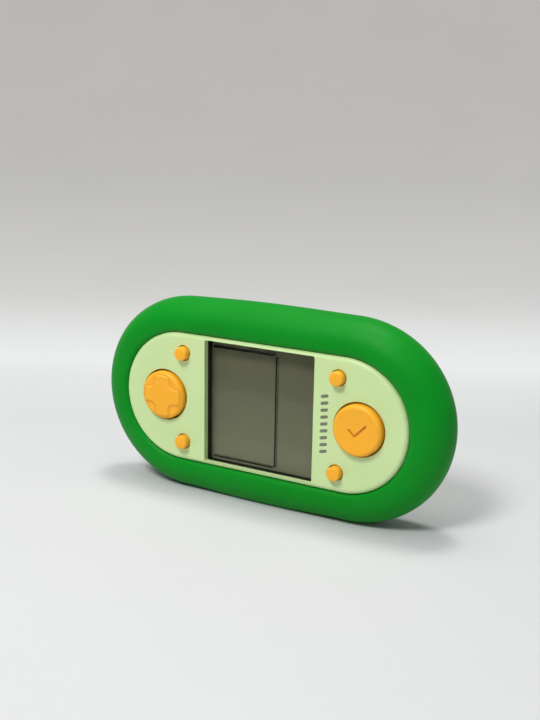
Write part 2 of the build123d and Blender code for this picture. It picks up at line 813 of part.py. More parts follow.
def tab_slot(rise):
    """The slot in the end wall for a solder tab."""
    room = fit_clearance
    return block(bay_left - bay_wall - overrun, bay_left + overrun, rise - tab_width / 2 - room,
                 rise + tab_width / 2 + room, cell_depth - contact_thickness / 2 - room,
                 cell_depth + contact_thickness / 2 + room)


def dimple(side, rise):
    """The raised dot that meets a cell's nub."""
    x = bay_left + contact_thickness if side < 0 else bay_right - contact_thickness - dimple_height
    dot = Pos(dimple_height / 2, 0) * (Rot(0, 90, 0) * Cylinder(nub_radius, dimple_height))
    return Pos(x, rise, -cell_depth) * dot


def negative_plate():
    """The plate behind the upper cell's spring."""
    return contact_plate(-1, cell_rise) + solder_tab(cell_rise)


def positive_plate():
    """The plate at the lower cell's nub."""
    return contact_plate(-1, -cell_rise) + solder_tab(-cell_rise) + dimple(-1, -cell_rise)


def bridge_plate():
    """The plate that joins the two cells at the right end."""
    plate = contact_plate(1, cell_rise) + contact_plate(1, -cell_rise)
    plate = plate + block(bay_right - contact_thickness, bay_right, -cell_rise, cell_rise,
                          cell_depth - bridge_height / 2, cell_depth + bridge_height / 2)
    return plate + dimple(1, cell_rise)


def coil_spring():
    """A coil spring from x = 0 along X, pressed between a plate and a cell."""
    rise = spring_length - spring_wire
    path = Helix(pitch=rise / spring_turns, height=rise, radius=spring_radius)
    start = Plane(origin=path @ 0, z_dir=path % 0)
    wire = sweep(start * Circle(spring_wire / 2), path)
    return Rot(0, 90, 0) * (Pos(0, 0, spring_wire / 2) * wire)


def negative_spring():
    """The spring at the upper cell's flat end."""
    return Pos(bay_left + contact_thickness, cell_rise, -cell_depth) * coil_spring()


def bridge_spring():
    """The spring at the lower cell's flat end."""
    return Pos(bay_right - contact_thickness, -cell_rise, -cell_depth) * (Rot(0, 0, 180) * coil_spring())


def lead(name, diameter, points):
    """A wire along straight runs joined by arcs as large as the runs allow."""
    places = [Vector(*p) for p in points]
    radii = []
    for before, here, after in zip(places, places[1:], places[2:]):
        first, second = here - before, after - here
        turn = radians(first.get_angle(second))
        radii.append(lead_bend_share * min(first.length, second.length) / tan(turn / 2))
    path = FilletPolyline(*places, radius=radii)
    start = Plane(origin=path @ 0, z_dir=path % 0)
    wire = sweep(start * Circle(diameter / 2), path)
    share = wire.volume / (pi * diameter ** 2 / 4 * path.length)
    print(name, "radii", [round(r, 2) for r in radii], "volume against section times length", round(share, 4))
    return wire


def battery_lead(name, rise):
    """A wire from a solder tab down to the board."""
    x_tab = bay_left - bay_wall - tab_reach
    drop = cell_depth - board_rear_depth
    out = drop / 2
    return lead(name, battery_lead_diameter, [
        (x_tab, rise, -cell_depth),
        (x_tab - out, rise, -cell_depth),
        (x_tab - out, rise, -board_rear_depth),
    ])


def battery_lead_negative():
    """The wire of the upper left contact."""
    return battery_lead("battery_lead_negative", cell_rise)


def battery_lead_positive():
    """The wire of the lower left contact."""
    return battery_lead("battery_lead_positive", -cell_rise)


def sounder_lead(name, near_depth, x_start, x_end, rise):
    """A wire from the sounder to the board, with one soft double bend."""
    end_run = lead_end_share * (near_depth - board_rear_depth)
    return lead(name, sounder_lead_diameter, [
        (x_start, rise, -near_depth),
        (x_start, rise, -near_depth + end_run),
        (x_end, rise, -board_rear_depth - end_run),
        (x_end, rise, -board_rear_depth),
    ])


def sounder_lead_inner():
    """The wire on the ceramic layer."""
    near = sounder_depth - ceramic_thickness
    x_end = sounder_x + sounder_lead_shift
    return sounder_lead("sounder_lead_inner", near, sounder_x, x_end, sounder_lead_rise)


def sounder_lead_outer():
    """The wire on the brass disc's rim."""
    x = sounder_x + (sounder_radius + ceramic_radius) / 2
    return sounder_lead("sounder_lead_outer", sounder_depth, x, x - sounder_lead_shift, 0)


def small_button_nodes():
    """The four small buttons and their pills, by name."""
    corners = ["upper_left", "lower_left", "upper_right", "lower_right"]
    buttons = dict(zip([corner + "_button" for corner in corners], at_each(small_places, small_button())))
    pills = dict(zip([corner + "_pill" for corner in corners], at_each(small_places, contact_pill())))
    return {**buttons, **pills}


def all_nodes():
    """Every piece by its name, lying on its back."""
    nodes = {
        "silicone_ring": silicone_ring(),
        "front_shell": front_shell(),
        "rear_shell": rear_shell() - [tab_slot(cell_rise), tab_slot(-cell_rise)],
        "battery_door": battery_door(),
        "door_screw": door_screw(),
        "case_screws": case_screws(),
        "board_screws": board_screws(),
        "window_lens": window_lens(),
        "lcd_bezel": lcd_bezel(),
        "lcd_glass": lcd_glass(),
        "lcd_reflector": lcd_reflector(),
        "zebra_strip": zebra_strip(),
        "main_board": main_board(),
        "controller_blob": controller_blob(),
        "crystal_can": crystal_can(),
        "capacitor": capacitor(),
        "chip_resistors": chip_resistors(),
        "dpad_cap": dpad_cap(),
        "dpad_ball": dpad_ball(),
        "dpad_post": dpad_post(),
        "action_button": action_button(),
        "left_keypad": left_keypad(),
        "right_keypad": right_keypad(),
        "dpad_pills": dpad_pills(),
        "action_pill": Pos(pad_x, 0) * contact_pill(),
        "sounder_disc": sounder_disc(),
        "sounder_ceramic": sounder_ceramic(),
        "battery_upper": cell(1, cell_rise),
        "battery_lower": cell(-1, -cell_rise),
        "negative_plate": negative_plate(),
        "positive_plate": positive_plate(),
        "bridge_plate": bridge_plate(),
        "negative_spring": negative_spring(),
        "bridge_spring": bridge_spring(),
        "battery_lead_negative": battery_lead_negative(),
        "battery_lead_positive": battery_lead_positive(),
        "sounder_lead_inner": sounder_lead_inner(),
        "sounder_lead_outer": sounder_lead_outer(),
    }
    nodes.update(small_button_nodes())
    return nodes


os.makedirs("parts", exist_ok=True)
stand_up = Pos(0, face_y, centre_height) * Rot(90, 0, 0)
for node, shape in all_nodes().items():
    export_step(stand_up * shape, "parts/" + node + ".step")
print("face at y", face_y, "spine height", centre_height, "board depth", board_depth)
print("pads at x", pad_x, "small buttons at x", small_x, "door screw at x", door_screw_x)
print("cells at depth", cell_depth, "bay", bay_left, bay_right, bay_height)
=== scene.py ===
"""Looks of a handheld game console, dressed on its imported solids.

Lengths in this file are millimetres until a mesh is made; Blender gets metres. X runs along the body, Y from
the faceplate to the back and Z up. A depth is a distance behind the faceplate's front.
"""
import logging
import math
from dataclasses import dataclass
from enum import Enum

import bpy
import numpy as np
from mathutils import Matrix, Vector


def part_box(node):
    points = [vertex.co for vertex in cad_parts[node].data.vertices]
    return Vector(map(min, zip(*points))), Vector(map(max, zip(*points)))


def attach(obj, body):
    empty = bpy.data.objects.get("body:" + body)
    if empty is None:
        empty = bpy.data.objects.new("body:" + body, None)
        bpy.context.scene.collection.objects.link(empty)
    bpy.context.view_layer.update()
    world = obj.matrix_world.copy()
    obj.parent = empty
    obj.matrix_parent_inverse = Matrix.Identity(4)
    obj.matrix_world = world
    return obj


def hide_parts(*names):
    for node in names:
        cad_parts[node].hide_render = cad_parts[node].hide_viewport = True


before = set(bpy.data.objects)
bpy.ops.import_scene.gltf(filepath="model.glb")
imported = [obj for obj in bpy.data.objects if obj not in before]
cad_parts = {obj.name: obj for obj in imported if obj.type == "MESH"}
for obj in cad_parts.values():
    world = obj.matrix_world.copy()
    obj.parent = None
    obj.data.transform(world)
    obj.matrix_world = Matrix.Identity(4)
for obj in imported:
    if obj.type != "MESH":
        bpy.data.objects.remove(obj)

LOG = logging.getLogger("console_looks")
MM = 0.001
# Noise lies mostly between these ends; the drift of colour uses a narrower part of it.
NOISE_ENDS = (0.3, 0.7)
DRIFT_ENDS = (0.35, 0.65)
NOISE_ROUGHNESS = 0.55
GLOSS_PATCH_SHARE = 0.4
STREAK_SCALE = (0.06, 1.0, 1.0)
SHEEN_ROUGHNESS = 0.5
COAT_ROUGHNESS = 0.08
FILM_MOTTLE = 0.06
BAND_EDGE = 0.1
VEIL_ROUGHNESS = 0.6
HAZE_SIZE = 18.0
SHELL_LOW, SHELL_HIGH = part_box("front_shell")
FACE_Y = SHELL_LOW[1] / MM
CENTRE_Z = (SHELL_LOW[2] + SHELL_HIGH[2]) / (2 * MM)


class Relief(Enum):
    """What the making leaves on a surface, which picks the noise that its bump reads."""

    GRAINED = "fine noise of an eroded mould"
    DRAWN = "long streaks of drawing or rolling"
    PEELED = "soft waves of resin, rubber or a moulded skin"


class Body(Enum):
    """The moving bodies that new pieces ride on."""

    CONSOLE = "console"
    ROUND_BUTTON = "action_button"
    FOUR_WAY_DISC = "dpad_cap"


def linear(colour: str) -> tuple[float, float, float, float]:
    """An sRGB hex colour as linear red, green, blue and alpha.

    Args:
        colour: six hex digits after a hash sign.

    Returns:
        The colour that Blender's sockets take.
    """
    parts = [int(colour[i:i + 2], 16) / 255 for i in (1, 3, 5)]
    red, green, blue = (p / 12.92 if p <= 0.04045 else ((p + 0.055) / 1.055) ** 2.4 for p in parts)
    return (red, green, blue, 1.0)


def per_metre(size_mm: float) -> float:
    """A noise scale whose features have a real size, as object coordinates are metres."""
    return 1000.0 / size_mm


def add_node(tree: bpy.types.NodeTree, kind: str, settings: dict | None = None,
             links: dict | None = None) -> bpy.types.Node:
    """Adds a node with its settings and links.

    Args:
        tree: the node tree.
        kind: the node's type name.
        settings: attributes by name, or input values by socket name or number.
        links: output sockets by the name or number of the input they feed.

    Returns:
        The new node.
    """
    node = tree.nodes.new(kind)
    for key, value in (settings or {}).items():
        if isinstance(key, str) and hasattr(node, key):
            setattr(node, key, value)
    for key, value in (settings or {}).items():
        if not (isinstance(key, str) and hasattr(node, key)):
            node.inputs[key].default_value = value
    for key, source in (links or {}).items():
        tree.links.new(source, node.inputs[key])
    return node


def new_material(name: str) -> tuple[bpy.types.Material, bpy.types.NodeTree, bpy.types.NodeSocket]:
    """An empty node material.

    Args:
        name: the finish's name.

    Returns:
        The material, its tree and the object coordinates' socket.
    """
    material = bpy.data.materials.new(name)
    material.use_nodes = True
    material.node_tree.nodes.clear()
    place = add_node(material.node_tree, "ShaderNodeTexCoord").outputs["Object"]
    return material, material.node_tree, place


def mixed(tree: bpy.types.NodeTree, factor: bpy.types.NodeSocket, low: object, high: object) -> bpy.types.NodeSocket:
    """Blends two colours by a factor.

    Args:
        tree: the node tree.
        factor: the socket that blends, 0 to 1.
        low: a hex colour or a socket at 0.
        high: a hex colour or a socket at 1.

    Returns:
        The blended colour's socket.
    """
    settings, links = {"data_type": "RGBA"}, {0: factor}
    for socket, colour in ((6, low), (7, high)):
        if isinstance(colour, str):
            settings[socket] = linear(colour)
        else:
            links[socket] = colour
    return add_node(tree, "ShaderNodeMix", settings, links).outputs[2]


def ranged(tree: bpy.types.NodeTree, value: bpy.types.NodeSocket, source: tuple[float, float],
           target: tuple[float, float]) -> bpy.types.NodeSocket:
    """Maps a value from one range onto another, held at both ends.

    Args:
        tree: the node tree.
        value: the socket to map.
        source: its two ends.
        target: what the ends become.

    Returns:
        The mapped value's socket.
    """
    settings = {1: source[0], 2: source[1], 3: target[0], 4: target[1]}
    return add_node(tree, "ShaderNodeMapRange", settings, {0: value}).outputs[0]


def ramp_along(tree: bpy.types.NodeTree, value: bpy.types.NodeSocket,
               stops: tuple[tuple[float, str], ...]) -> bpy.types.NodeSocket:
    """Runs through colours along a value, straight from stop to stop.

    Args:
        tree: the node tree.
        value: the socket that picks the place.
        stops: places in the value's own unit, rising, each with its hex colour.

    Returns:
        The colour's socket.
    """
    low, high = stops[0][0], stops[-1][0]
    ramp = add_node(tree, "ShaderNodeValToRGB", links={0: ranged(tree, value, (low, high), (0.0, 1.0))})
    while len(ramp.color_ramp.elements) < len(stops):
        ramp.color_ramp.elements.new(0.5)
    for element, (at, colour) in zip(ramp.color_ramp.elements, stops):
        element.position = (at - low) / (high - low)
        element.color = linear(colour)
    return ramp.outputs[0]


def up_display(tree: bpy.types.NodeTree, place: bpy.types.NodeSocket,
               stops: tuple[tuple[float, str], ...]) -> bpy.types.NodeSocket:
    """Runs through colours up the display, at heights in millimetres from its centre; the display's painted shade
    and light use it.
    """
    up = add_node(tree, "ShaderNodeSeparateXYZ", links={0: place}).outputs[2]
    return ramp_along(tree, up, tuple(((CENTRE_Z + height) * MM, colour) for height, colour in stops))


@dataclass(frozen=True)
class Finish:
    """An opaque finish: its colours, its gloss and the relief that its making leaves.

    The colour drifts slowly to the tone and back, and the roughness varies by its spread either way.
    """

    name: str
    colour: str
    tone: str
    tone_size: float
    roughness: float
    roughness_spread: float
    relief: Relief
    relief_size: float
    relief_height: float
    ior: float = 1.5
    metallic: float = 0.0
    specular: float = 0.5
    sheen: float = 0.0
    coat: float = 0.0

    def noise(self, tree: bpy.types.NodeTree, place: bpy.types.NodeSocket, size: float,
              detail: float = 2.0) -> bpy.types.NodeSocket:
        """Cloudy noise with features of a real size in millimetres."""
        settings = {"Scale": per_metre(size), "Detail": detail, "Roughness": NOISE_ROUGHNESS}
        return add_node(tree, "ShaderNodeTexNoise", settings, {"Vector": place}).outputs["Fac"]

    def base_colour(self, tree: bpy.types.NodeTree, place: bpy.types.NodeSocket) -> bpy.types.NodeSocket:
        """The colour: a slow drift between two tones."""
        drift = ranged(tree, self.noise(tree, place, self.tone_size), DRIFT_ENDS, (0.0, 1.0))
        return mixed(tree, drift, self.colour, self.tone)

    def height(self, tree: bpy.types.NodeTree, place: bpy.types.NodeSocket) -> bpy.types.NodeSocket:
        """The relief, 0 to 1: even noise, streaks along X, or soft waves."""
        if self.relief is Relief.DRAWN:
            place = add_node(tree, "ShaderNodeMapping", {"Scale": STREAK_SCALE}, {"Vector": place}).outputs[0]
        return self.noise(tree, place, self.relief_size, 0.0 if self.relief is Relief.PEELED else 3.0)

    def build(self) -> bpy.types.Material:
        """Makes the material.

        Returns:
            A material with a Principled shader fed by the finish's patterns.
        """
        material, tree, place = new_material(self.name)
        spread = self.roughness_spread
        gloss = ranged(tree, self.noise(tree, place, GLOSS_PATCH_SHARE * self.tone_size), NOISE_ENDS,
                       (self.roughness - spread, self.roughness + spread))
        bump = add_node(tree, "ShaderNodeBump", {"Strength": 1.0, "Distance": self.relief_height * MM},
                        {"Height": self.height(tree, place)})
        settings = {"Specular IOR Level": self.specular, "Metallic": self.metallic}
        if self.metallic == 0:
            settings["IOR"] = self.ior
        if self.sheen > 0:
            settings.update({"Sheen Weight": self.sheen, "Sheen Roughness": SHEEN_ROUGHNESS})
        if self.coat > 0:
            settings.update({"Coat Weight": self.coat, "Coat Roughness": COAT_ROUGHNESS})
        shader = add_node(tree, "ShaderNodeBsdfPrincipled", settings, {
            "Base Color": self.base_colour(tree, place), "Roughness": gloss, "Normal": bump.outputs[0]})
        add_node(tree, "ShaderNodeOutputMaterial", links={"Surface": shader.outputs[0]})
        return material


@dataclass(frozen=True)
class BandedFinish(Finish):
    """A finish with bands of another colour across one axis, such as a printed jacket or a circuit board."""

    band_colour: str = "#FFFFFF"
    band_axis: int = 0
    band_from: float = 0.0
    band_to: float = 1.0

    def base_colour(self, tree: bpy.types.NodeTree, place: bpy.types.NodeSocket) -> bpy.types.NodeSocket:
        """The finish's colour with its band, whose ends are places along the axis in millimetres."""
        plain = super().base_colour(tree, place)
        along = add_node(tree, "ShaderNodeSeparateXYZ", links={0: place}).outputs[self.band_axis]
        start, end = self.band_from * MM, self.band_to * MM
        rise = ranged(tree, along, (start, start + BAND_EDGE * MM), (0.0, 1.0))
        fall = ranged(tree, along, (end, end + BAND_EDGE * MM), (1.0, 0.0))
        inside = add_node(tree, "ShaderNodeMath", {"operation": "MULTIPLY"}, {0: rise, 1: fall}).outputs[0]
        return mixed(tree, inside, plain, self.band_colour)


@dataclass(frozen=True)
class DisplayFilm(Finish):
    """The grey film behind a display, whose colour paints light and shade on it: paler towards its foot, where the
    light from above gets in, and darker towards its top.
    """

    stops: tuple[tuple[float, str], ...] = ()

    def base_colour(self, tree: bpy.types.NodeTree, place: bpy.types.NodeSocket) -> bpy.types.NodeSocket:
        """A ramp of painted shade and light up the display, through colours at heights from its centre, with the
        film's own faint mottle.
        """
        mottle = ranged(tree, self.noise(tree, place, self.tone_size), NOISE_ENDS, (0.0, FILM_MOTTLE))
        return mixed(tree, mottle, up_display(tree, place, self.stops), self.tone)


@dataclass(frozen=True)
class ClearSheet:
    """A clear or tinted sheet that lets lamps through, with gloss and a faint body on the side that faces out, whose
    colour can ramp up the display as painted shade and light.
    """

    name: str
    tint: str
    gloss: float
    roughness: float
    ior: float
    body_share: float = 0.0
    body_painted_ramp: tuple[tuple[float, str], ...] = ((-30.0, "#808080"), (30.0, "#808080"))

    def build(self) -> bpy.types.Material:
        """Makes the material: a transparent shader, a little diffuse body whose colour ramps up the display as
        painted shade and light, and gloss that grows towards the edge.

        Returns:
            The sheet's material.
        """
        material, tree, place = new_material(self.name)
        clear = add_node(tree, "ShaderNodeBsdfTransparent", {"Color": linear(self.tint)})
        haze = add_node(tree, "ShaderNodeTexNoise", {"Scale": per_metre(HAZE_SIZE), "Detail": 2.0},
                        {"Vector": place})
        rough = ranged(tree, haze.outputs["Fac"], NOISE_ENDS, (self.roughness, 2 * self.roughness))
        shine = add_node(tree, "ShaderNodeBsdfGlossy", {"Color": (1, 1, 1, 1)}, {"Roughness": rough})
        edge = add_node(tree, "ShaderNodeFresnel", {"IOR": self.ior})
        inner = add_node(tree, "ShaderNodeNewGeometry").outputs["Backfacing"]
        outer = ranged(tree, inner, (0.0, 1.0), (self.gloss, 0.0))
        share = add_node(tree, "ShaderNodeMath", {"operation": "MULTIPLY"}, {0: edge.outputs[0], 1: outer})
        veil = add_node(tree, "ShaderNodeBsdfDiffuse", {"Roughness": VEIL_ROUGHNESS},
                        {"Color": up_display(tree, place, self.body_painted_ramp)})
        veiled = ranged(tree, inner, (0.0, 1.0), (self.body_share, 0.0))
        under = add_node(tree, "ShaderNodeMixShader", links={0: veiled, 1: clear.outputs[0], 2: veil.outputs[0]})
        both = add_node(tree, "ShaderNodeMixShader", links={
            0: share.outputs[0], 1: under.outputs[0], 2: shine.outputs[0]})
        add_node(tree, "ShaderNodeOutputMaterial", links={"Surface": both.outputs[0]})
        return material


# Matte silicone, moulded: a deep colour, a soft broad highlight and a faint bloom towards the edge of sight.
SILICONE = Finish("moulded_silicone", "#028E20", "#02881C", 34.0, 0.50, 0.05, Relief.PEELED, 0.9, 0.008,
                  ior=1.41, specular=0.17, sheen=0.02)
# ABS from an eroded mould: satin, with a grain of 0.25 mm, drawn at 0.6 mm so that it shows.
PALE_ABS = Finish("moulded_abs_pale_green", "#CFE8A8", "#CBE5A4", 26.0, 0.42, 0.04, Relief.GRAINED, 0.6, 0.006,
                  ior=1.53)
# The same resin in orange, a shade more matte, and two deeper oranges that paint shade in the tick's groove and in
# the corner round the disc's raised cross.
ORANGE_ABS = Finish("satin_abs_orange", "#FFB526", "#FEB222", 9.0, 0.50, 0.04, Relief.GRAINED, 0.5, 0.004,
                    ior=1.53, specular=0.4)
GROOVE_SHADE_ORANGE = Finish("painted_shade_in_groove", "#D98A14", "#D58711", 3.0, 0.45, 0.04, Relief.GRAINED, 0.5, 0.004)
CORNER_SHADE_ORANGE = Finish("painted_shade_in_corner", "#F0A21E", "#ED9E1B", 3.0, 0.50, 0.04, Relief.GRAINED, 0.5, 0.004,
                       ior=1.53, specular=0.4)
BLACK_ABS = Finish("moulded_abs_black", "#0B0C0B", "#121310", 8.0, 0.45, 0.06, Relief.GRAINED, 0.5, 0.006)
KEYPAD_RUBBER = Finish("moulded_keypad_rubber", "#C9C9C4", "#BFBFB9", 12.0, 0.62, 0.05, Relief.PEELED, 1.2, 0.01,
                       ior=1.41, sheen=0.05)
CARBON_RUBBER = Finish("carbon_filled_rubber", "#141414", "#1D1D1C", 3.0, 0.7, 0.06, Relief.PEELED, 0.8, 0.008)
LAMINATE = BandedFinish("masked_glass_epoxy_laminate", "#1C5A30", "#195129", 6.0, 0.34, 0.05, Relief.GRAINED, 0.8,
                        0.012, coat=0.4, band_colour="#2F7A45", band_axis=2, band_from=39.0, band_to=41.5)
EPOXY = Finish("cured_black_epoxy", "#0C0C0D", "#171719", 4.0, 0.18, 0.05, Relief.PEELED, 3.0, 0.02)
# Plated steel: bright, with streaks from drawing and rolling.
PLATED_STEEL = Finish("nickel_plated_steel", "#B9B8B2", "#A8A7A1", 5.0, 0.28, 0.08, Relief.DRAWN, 0.4, 0.004,
                      metallic=1.0)
SLEEVE = BandedFinish("shrunk_pvc_sleeve", "#1B2440", "#161D36", 3.0, 0.22, 0.05, Relief.PEELED, 1.5, 0.01,
                      band_colour="#A9B0BC", band_axis=2, band_from=38.4, band_to=39.3)
ACETAL = Finish("moulded_acetal_white", "#DDDDD8", "#D4D4CE", 4.0, 0.4, 0.05, Relief.GRAINED, 0.5, 0.005)
BRASS = Finish("rolled_brass", "#C9A552", "#BC9644", 7.0, 0.3, 0.08, Relief.DRAWN, 0.5, 0.004, metallic=1.0)
CERAMIC = Finish("fired_piezo_ceramic", "#DAD6CA", "#CFCABC", 5.0, 0.5, 0.06, Relief.GRAINED, 0.6, 0.008)
JACKET = BandedFinish("printed_cell_jacket", "#31424E", "#2C3B46", 8.0, 0.3, 0.05, Relief.DRAWN, 0.6, 0.003,
                      metallic=0.0, coat=0.5, band_colour="#C9CDD0", band_axis=0, band_from=8.0, band_to=20.0)
LEAD_RED = Finish("extruded_pvc_red", "#A81A16", "#9A1512", 2.0, 0.34, 0.05, Relief.PEELED, 0.8, 0.006)
LEAD_BLACK = Finish("extruded_pvc_black", "#101010", "#191919", 2.0, 0.34, 0.05, Relief.PEELED, 0.8, 0.006)
# The display: a polariser takes the light twice, so the film behind it is far paler than it looks. The film's and
# the polariser's colours ramp up the display as painted shade, darker towards the top, and painted light, paler
# towards the foot.
REFLECTOR = DisplayFilm("display_reflector_film", "#A6A794", "#9C9D8B", 14.0, 0.6, 0.05, Relief.GRAINED, 0.8, 0.004,
                        stops=((-24.0, "#E4EAD2"), (-11.0, "#CDD2BB"), (0.0, "#CCD1B8"), (11.0, "#B9BCA4"),
                               (18.0, "#C6C8AE"), (22.0, "#C2C3AB")))
POLARISER = ClearSheet("polariser_on_glass", "#E9E9E4", 0.0, 0.05, 1.5, body_share=0.55,
                       body_painted_ramp=((-24.0, "#A0A48E"), (-11.0, "#92967F"), (0.0, "#8C8F79"), (11.0, "#7E806B"),
                                   (18.0, "#82836A"), (22.0, "#7E7F62")))
LENS = ClearSheet("polished_acrylic_sheet", "#FCFCFA", 0.2, 0.03, 1.49)
INK_BLACK = Finish("display_segment_black", "#0B0B09", "#0F0F0C", 4.0, 0.6, 0.02, Relief.GRAINED, 0.5, 0.001,
                   specular=0.0)
# The segments' shadow on the film is painted: a dark grey strip behind each segment.
SEGMENT_SHADOW_PAINT = Finish("display_segment_painted_shadow", "#22231B", "#26271E", 4.0, 0.6, 0.02, Relief.GRAINED, 0.5, 0.001,
                   specular=0.0)
# Pad-printed ink: a thin matte grey film with slightly uneven cover.
PRINT_GREY = Finish("pad_printed_grey_ink", "#76806A", "#6C765F", 2.0, 0.5, 0.03, Relief.GRAINED, 0.4, 0.002)

NODE_FINISHES = {
    SILICONE: ["silicone_ring"],
    PALE_ABS: ["front_shell", "rear_shell", "battery_door"],
    ORANGE_ABS: ["dpad_cap", "action_button", "upper_left_button", "lower_left_button", "upper_right_button",
                 "lower_right_button"],
    BLACK_ABS: ["lcd_bezel"],
    LENS: ["window_lens"],
    POLARISER: ["lcd_glass"],
    REFLECTOR: ["lcd_reflector"],
    KEYPAD_RUBBER: ["left_keypad", "right_keypad"],
    CARBON_RUBBER: ["dpad_pills", "action_pill", "upper_left_pill", "lower_left_pill", "upper_right_pill",
                    "lower_right_pill", "zebra_strip"],
    LAMINATE: ["main_board"],
    EPOXY: ["controller_blob", "chip_resistors"],
    PLATED_STEEL: ["case_screws", "board_screws", "door_screw", "crystal_can", "negative_plate", "positive_plate",
                   "bridge_plate", "negative_spring", "bridge_spring", "dpad_ball"],
    SLEEVE: ["capacitor"],
    ACETAL: ["dpad_post"],
    BRASS: ["sounder_disc"],
    CERAMIC: ["sounder_ceramic"],
    JACKET: ["battery_upper", "battery_lower"],
    LEAD_RED: ["battery_lead_positive", "sounder_lead_inner"],
    LEAD_BLACK: ["battery_lead_negative", "sounder_lead_outer"],
}


def grid_faces(rows: int, columns: int, wrap_rows: bool, wrap_columns: bool) -> np.ndarray:
    """Quads between the points of a grid, numbered row by row.

    Args:
        rows: how many rows of points.
        columns: how many points a row has.
        wrap_rows: whether the last row joins the first.
        wrap_columns: whether the last column joins the first.

    Returns:
        Four point numbers for each quad.
    """
    row = np.arange(rows if wrap_rows else rows - 1)[:, None]
    column = np.arange(columns if wrap_columns else columns - 1)[None, :]
    here, right = row * columns + column, row * columns + (column + 1) % columns
    below = ((row + 1) % rows) * columns
    return np.stack([here, right, below + (column + 1) % columns, below + column], axis=-1).reshape(-1, 4)


def make_piece(name: str, points: np.ndarray, faces: list, material: bpy.types.Material,
               smooth: bool = True) -> bpy.types.Object:
    """Turns points in millimetres into a mesh piece at the origin, with its faces pointing out.

    Args:
        name: the piece's name.
        points: one row of x, y and z for each point.
        faces: point numbers for each face, wound so that they point out.
        material: its finish.
        smooth: whether its faces are shaded smooth.

    Returns:
        The new object.
    """
    mesh = bpy.data.meshes.new(name)
    mesh.from_pydata((points * MM).tolist(), [], [list(map(int, face)) for face in faces])
    mesh.polygons.foreach_set("use_smooth", np.full(len(mesh.polygons), smooth))
    mesh.materials.append(material)
    mesh.update()
    piece = bpy.data.objects.new(name, mesh)
    bpy.context.scene.collection.objects.link(piece)
    return piece


def arc(centre: tuple[float, float], radius: float, start: float, end: float, steps: int) -> np.ndarray:
    """Points on an arc: the centre plus the radius times the cosine and sine of evenly spaced angles.

    Args:
        centre: the arc's centre.
        radius: its radius.
        start: the first angle in degrees.
        end: the last angle in degrees.
        steps: how many points.

    Returns:
        One row of two numbers for each point.
    """
    angle = np.radians(np.linspace(start, end, steps))
    return np.asarray(centre) + radius * np.stack([np.cos(angle), np.sin(angle)], axis=1)


